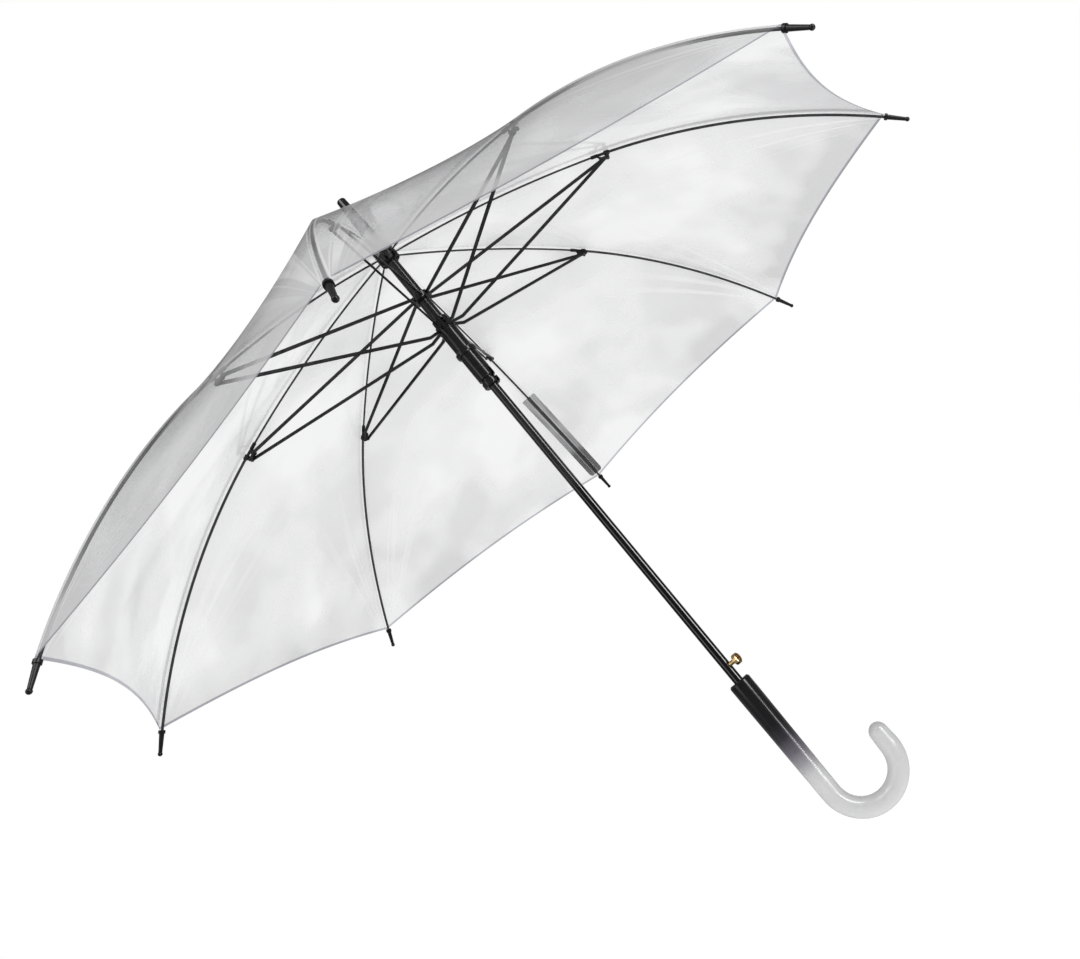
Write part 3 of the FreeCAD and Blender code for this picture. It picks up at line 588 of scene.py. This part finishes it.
def turned_copy(piece, normals, name, turn, mirrored):
    """The half panel on one side of a rib: copied, mirrored where needed and turned into place."""
    twin = piece.copy()
    twin.data = piece.data.copy()
    twin.name = name
    bpy.context.collection.objects.link(twin)
    for point in twin.data.vertices:
        point.co = turn @ point.co
    if not mirrored:
        twin.data.flip_normals()
    twin.data.normals_split_custom_set_from_vertices([turn @ n for n in normals])
    return twin


def build_canopy():
    """Sixteen half panels above the rib joints and sixteen below: one sheet, split where it folds."""
    for name, start, end, rows, inner, outer, bone, folded in (
        ("film_upper", 0.0, FLEX_LENGTH, UPPER_ROWS, CROWN_HINGE, JOINT, "rib_inner", UPPER_FOLDED),
        ("film_lower", FLEX_LENGTH, RIM_LENGTH, LOWER_ROWS, FLEX, TIP, "rib_outer", LOWER_FOLDED),
    ):
        pattern, normals = half_panel(name, start, end, rows)
        # the way along the rib, and the way from the rib to the panel's middle, square to the rib
        along = Vector((outer[0] - inner[0], 0, outer[1] - inner[1])).normalized()
        middle = (start + end) / 2
        across = film_point(middle, 0.5) - film_point(middle, 0.0)
        across = (across - along * across.dot(along)).normalized()
        for k in range(1, RIBS + 1):
            for side, hand in ((1, "left"), (-1, "right")):
                turn = Matrix.Rotation(PITCH * (k - 1), 3, "Z") @ Matrix.Diagonal((1, side, 1))
                piece = turned_copy(pattern, normals, f"{name}_{k}_{hand}", turn, side < 0)
                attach(piece, f"{bone}_{k}")
                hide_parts("canopy")
                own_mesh(piece)
        bpy.data.objects.remove(pattern)


# ------------------------------------------------------------------- the strap


def laid(along, across, above):
    """A point of the strap as it lies on the film: along from its sewn end, across, and above."""
    centre, radius = arch_between(FLEX, TIP, OUTER_BOW)
    first = seen_from(centre, FLEX) - STRAP_START / radius
    x, z = polar(centre, first - along / radius, radius + STRAP_LIFT + above)
    return Matrix.Rotation(PITCH * (STRAP_RIB - 1), 3, "Z") @ Vector((x, across, z))


def strap_band():
    """The strap's band, with a rounded end and pressed edges."""
    bpy.ops.mesh.primitive_grid_add(x_subdivisions=8, y_subdivisions=60, size=1)
    strap = bpy.context.object
    strap.name = "strap_band"
    for point in strap.data.vertices:
        across, along = point.co.x * STRAP_WIDTH, (point.co.y + 0.5) * STRAP_LENGTH
        rounding = max(0.0, along - STRAP_LENGTH + STRAP_ROUNDED_END) / STRAP_ROUNDED_END
        across *= 1 - STRAP_END_NARROWING * rounding ** 2
        point.co = laid(along, across, 0)
    solid = strap.modifiers.new("thickness", "SOLIDIFY")
    solid.thickness = STRAP_THICKNESS
    solid.offset = 1
    bpy.ops.object.modifier_apply(modifier=solid.name)
    edge = strap.modifiers.new("pressed_edge", "BEVEL")
    edge.width = STRAP_EDGE
    edge.segments = 2
    edge.limit_method = "ANGLE"
    bpy.ops.object.modifier_apply(modifier=edge.name)
    bpy.ops.object.shade_smooth_by_angle(angle=math.radians(40))
    strap.data.materials.append(strap_leatherette)
    strap.select_set(False)
    return strap


def strap_stitching():
    """A row of stitches along each side of the strap, joined into one piece."""
    bpy.ops.mesh.primitive_uv_sphere_add(segments=8, ring_count=5, radius=1)
    bead = bpy.context.object
    bead.data.materials.append(black_thread)
    copies = []
    for side in (-1, 1):
        line = side * (STRAP_WIDTH / 2 - STITCH_INSET)
        for n in range(int((STRAP_LENGTH - 2 * STITCH_MARGIN) / STITCH_PITCH)):
            place = laid(STITCH_MARGIN + n * STITCH_PITCH, line, STRAP_THICKNESS)
            onward = laid(STITCH_MARGIN + (n + 0.5) * STITCH_PITCH, line, STRAP_THICKNESS)
            stitch = bead.copy()
            stitch.data = bead.data.copy()
            bpy.context.collection.objects.link(stitch)
            aim = (onward - place).to_track_quat("X", "Z").to_matrix().to_4x4()
            size = Matrix.Diagonal((*STITCH_RADII, 1))
            stitch.data.transform(Matrix.Translation(place) @ aim @ size)
            copies.append(stitch)
    bpy.data.objects.remove(bead)
    bpy.ops.object.select_all(action="DESELECT")
    for stitch in copies:
        stitch.select_set(True)
    bpy.context.view_layer.objects.active = copies[0]
    bpy.ops.object.join()
    seam = bpy.context.object
    seam.name = "strap_stitching"
    bpy.ops.object.shade_smooth()
    seam.select_set(False)
    return seam


def build_strap():
    """The closing strap, lying along a seam on the far side, stitched round its edges."""
    strap = strap_band()
    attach(strap, "strap")
    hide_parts("strap")
    seam = strap_stitching()
    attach(seam, "strap")


# -------------------------------------------------------- room, light, camera


def build_room():
    """White to the camera, a soft fill to plain surfaces, and to shiny ones a dark room.

    The dark room has a grey ceiling, and a white backdrop behind the umbrella.
    """
    world = bpy.data.worlds.new("studio")
    bpy.context.scene.world = world
    world.use_nodes = True
    tree = world.node_tree
    fill = tree.nodes["Background"]
    feed(tree, fill, {"Color": (1, 1, 1, 1), "Strength": ROOM_FILL})
    white = add(tree, "ShaderNodeBackground", {"Color": (1, 1, 1, 1)})
    toward = coordinates(tree, add(tree, "ShaderNodeTexCoord", {}).outputs["Generated"])
    height = maths(tree, "MULTIPLY_ADD", toward["Z"], 0.5, 0.5)
    ceiling = ramp(tree, height, [(0.69, MIRRORED_DARK), (0.90, MIRRORED_CEILING)])
    behind = ramp(tree, toward["Y"], [(0.72, 0.0), (0.90, MIRRORED_BACKDROP)])
    below = ramp(tree, height, [(0.60, 1.0), (0.72, 0.0)])
    mirrored = maths(tree, "MAXIMUM", ceiling, product(tree, behind, below))
    room = add(tree, "ShaderNodeBackground", {"Strength": mirrored})
    path = add(tree, "ShaderNodeLightPath", {}).outputs
    unseen = mixed(tree, path["Is Glossy Ray"], fill.outputs["Background"], room.outputs["Background"])
    seen = maths(tree, "MAXIMUM", path["Is Camera Ray"], path["Is Transmission Ray"])
    surface = mixed(tree, seen, unseen, white.outputs["Background"])
    feed(tree, tree.nodes["World Output"], {"Surface": surface})


def build_floor():
    """A glowing white floor just under the hook, which shiny surfaces see as grey."""
    bpy.ops.mesh.primitive_circle_add(
        vertices=96, radius=FLOOR_RADIUS, fill_type="NGON", location=(0, 0, FLOOR_Z))
    floor = bpy.context.object
    floor.name = "floor"
    bpy.ops.object.transform_apply(location=True)
    floor.select_set(False)
    pale, tree, shader = new_finish("pale_floor")
    feed(tree, shader, {"Base Color": (0.90, 0.90, 0.90, 1), "Roughness": 0.9, "Specular IOR Level": 0.0})
    glow = add(tree, "ShaderNodeEmission", {"Strength": FLOOR_GLOW})
    lit = mixed(tree, FLOOR_GLOW_SHARE, shader.outputs["BSDF"], glow.outputs["Emission"])
    grey = add(tree, "ShaderNodeEmission", {"Strength": MIRRORED_FLOOR})
    path = add(tree, "ShaderNodeLightPath", {}).outputs
    surface = mixed(tree, path["Is Glossy Ray"], lit, grey.outputs["Emission"])
    feed(tree, tree.nodes["Material Output"], {"Surface": surface})
    floor.data.materials.append(pale)


def soft_lamp(name, place, aim, wide, tall, watts, only_for=None):
    """A rectangular lamp. One that is only for some solids shows just as a gleam on them."""
    lamp = bpy.data.lights.new(name, "AREA")
    lamp.shape = "RECTANGLE"
    lamp.size, lamp.size_y = wide, tall
    lamp.energy = watts
    holder = bpy.data.objects.new(name, lamp)
    bpy.context.collection.objects.link(holder)
    holder.location = place
    holder.visible_camera = False
    holder.visible_diffuse = only_for is None
    holder.light_linking.receiver_collection = only_for
    holder.rotation_euler = (Vector(aim) - Vector(place)).to_track_quat("-Z", "Y").to_euler()
    return holder


def build_lamps():
    """Each lamp's place, the point it faces, its width and height, and its power in watts."""
    soft_lamp("high_softbox", (-0.3, -1.5, 2.1), (0, 0, 0.5), 1.6, 1.0, 22)
    # the other three only show as the bright lines along the shaft and the handle, and light no film
    solids = bpy.data.collections.new("lined_solids")
    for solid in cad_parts.values():
        solids.objects.link(solid)
    soft_lamp("right_strip", (1.84, -1.32, 0.95), (0, 0, 0.95), 0.55, 2.1, 40, solids)
    floor_strip = soft_lamp("right_floor_strip", FLOOR_STRIP, (0, 0, 0), 0.14, 1.7, 7, solids)
    floor_strip.rotation_euler = (math.pi, 0, math.atan2(FLOOR_STRIP[1], FLOOR_STRIP[0]) - math.pi / 2)
    soft_lamp("left_card", (-1.7, -1.5, 0.85), (0, 0, 0.85), 1.0, 1.9, 8, solids)


def build_camera():
    """The photograph's viewpoint: low on the near side, looking up, and rolled."""
    data = bpy.data.cameras.new("photo_camera")
    data.sensor_width = 36
    data.lens = PHOTO_LENS_MM
    data.shift_x, data.shift_y = PHOTO_SHIFT
    data.clip_start, data.clip_end = 0.02, 40
    holder = bpy.data.objects.new("photo_camera", data)
    bpy.context.collection.objects.link(holder)
    turn = Matrix((PHOTO_RIGHT, -PHOTO_DOWN, -PHOTO_AHEAD)).transposed().to_4x4()
    holder.matrix_world = Matrix.Translation(PHOTO_EYE) @ turn
    bpy.context.scene.camera = holder


dress_frame()
build_spring()
build_canopy()
build_strap()
build_room()
build_floor()
build_lamps()
build_camera()
bpy.context.scene.view_settings.view_transform = "Standard"

bpy.context.view_layer.update()
